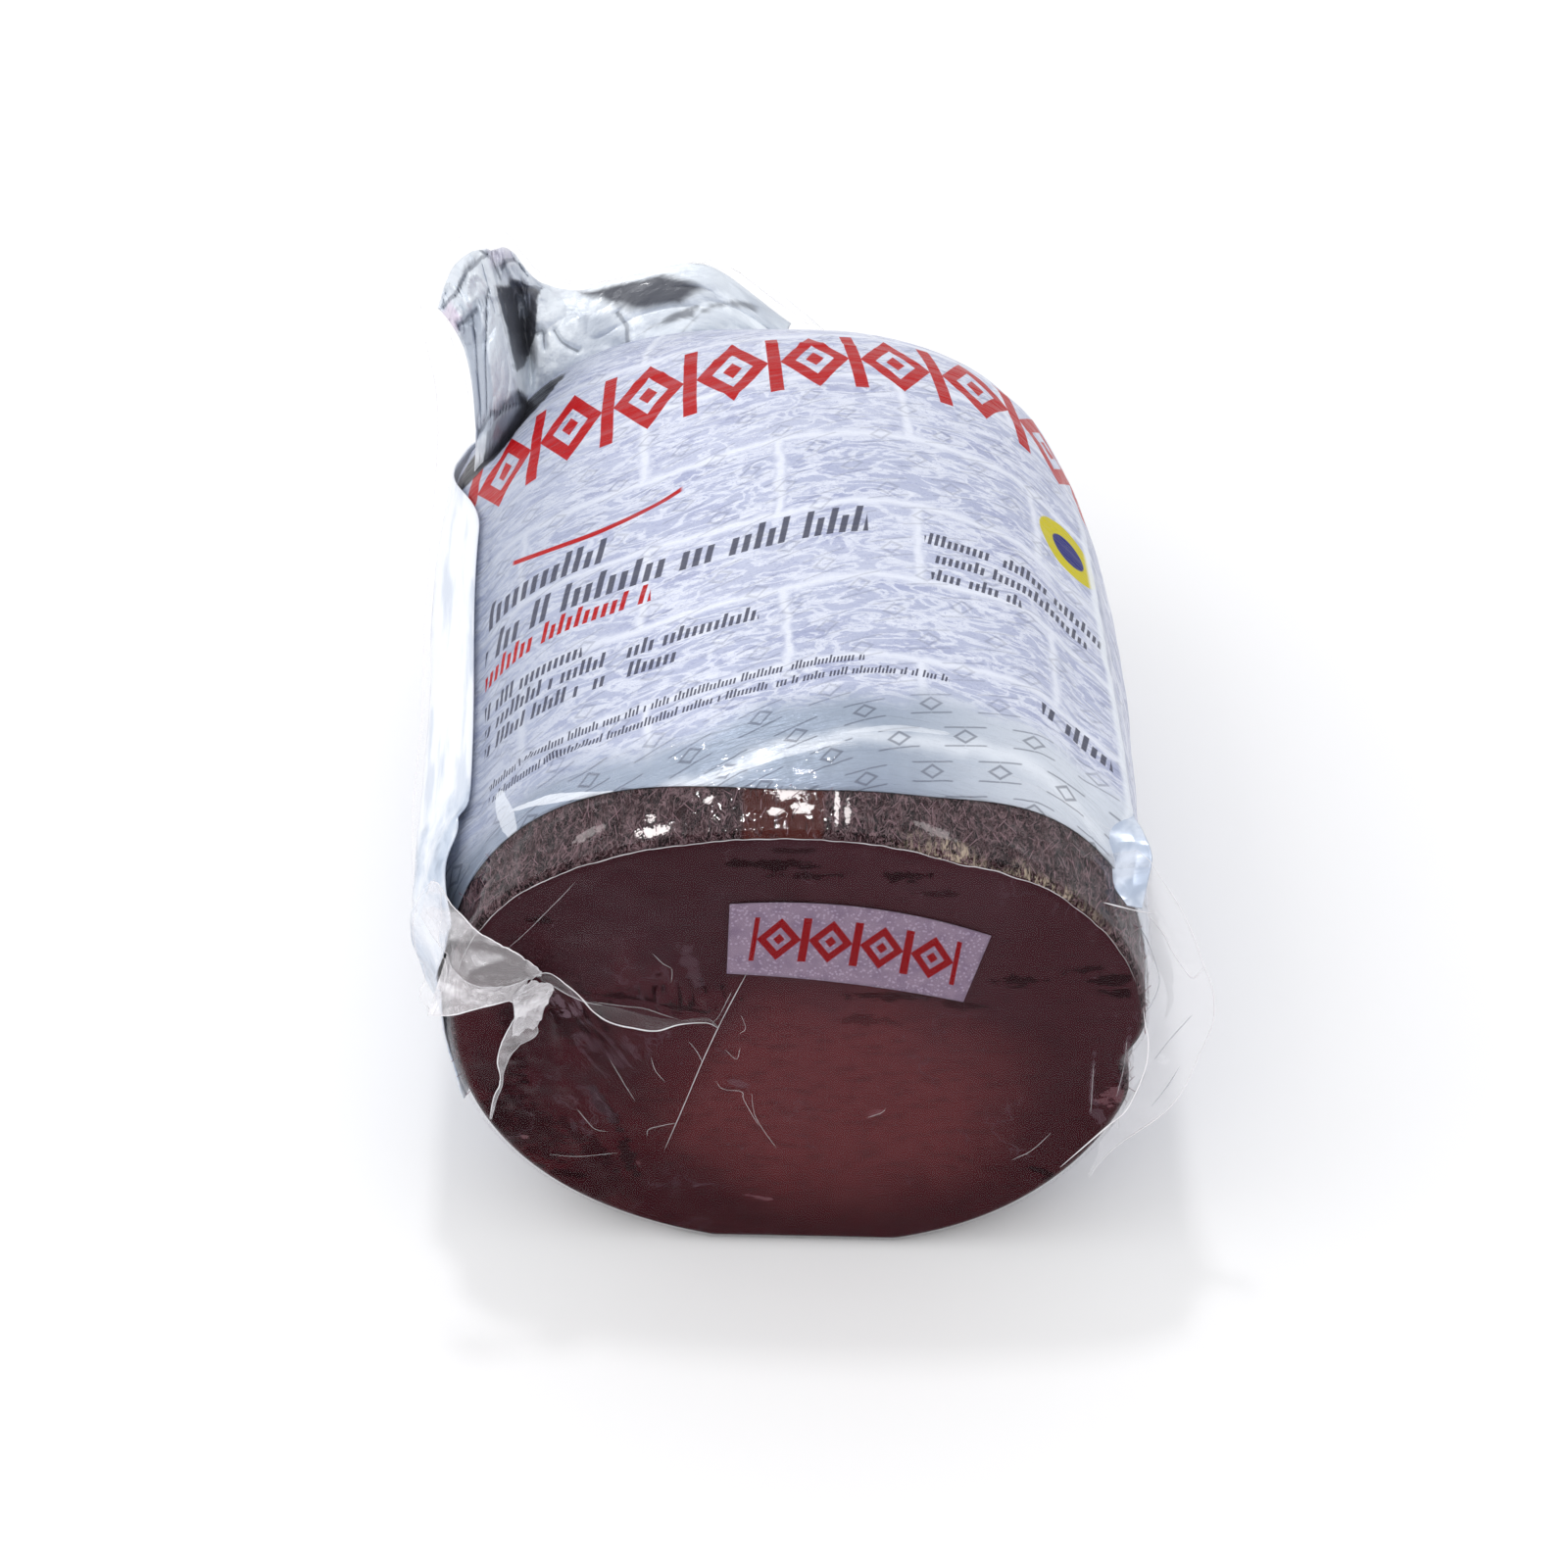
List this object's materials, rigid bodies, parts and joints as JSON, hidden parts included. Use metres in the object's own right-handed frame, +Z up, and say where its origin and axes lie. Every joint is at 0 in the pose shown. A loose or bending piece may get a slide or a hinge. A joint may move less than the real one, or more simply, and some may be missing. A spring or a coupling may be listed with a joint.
{
  "type": "bresaola",
  "caption": "Half of an air-dried beef joint lying on its side, with a bare cut face, a printed wrap with a crumpled tail, and clear vacuum film over it all.",
  "frame": {"origin": "centre of the bounding box's base, on the surface that the joint lies on", "axes": "+X to the right across the cut face as seen from the front, +Y from the cut face to the rounded end, +Z up"},
  "size_m": [0.1784, 0.2188, 0.113],
  "materials": {
    "cured_beef": "dark maroon cured beef under tight film, with a brown-grey casing round the side",
    "printed_film": "silver film printed with pale lavender blocks, red and grey bars, satin gloss with fine wrinkles",
    "clear_film": "clear thin film, creased, with bright edges",
    "label_film": "pale lavender label with a fine pebbled surface and a red bar"
  },
  "bodies": {
    "root": {"bresaola": "cured_beef", "printed_wrap": "printed_film", "vacuum_bag": "clear_film", "label": "label_film"}
  },
  "joints": []
}
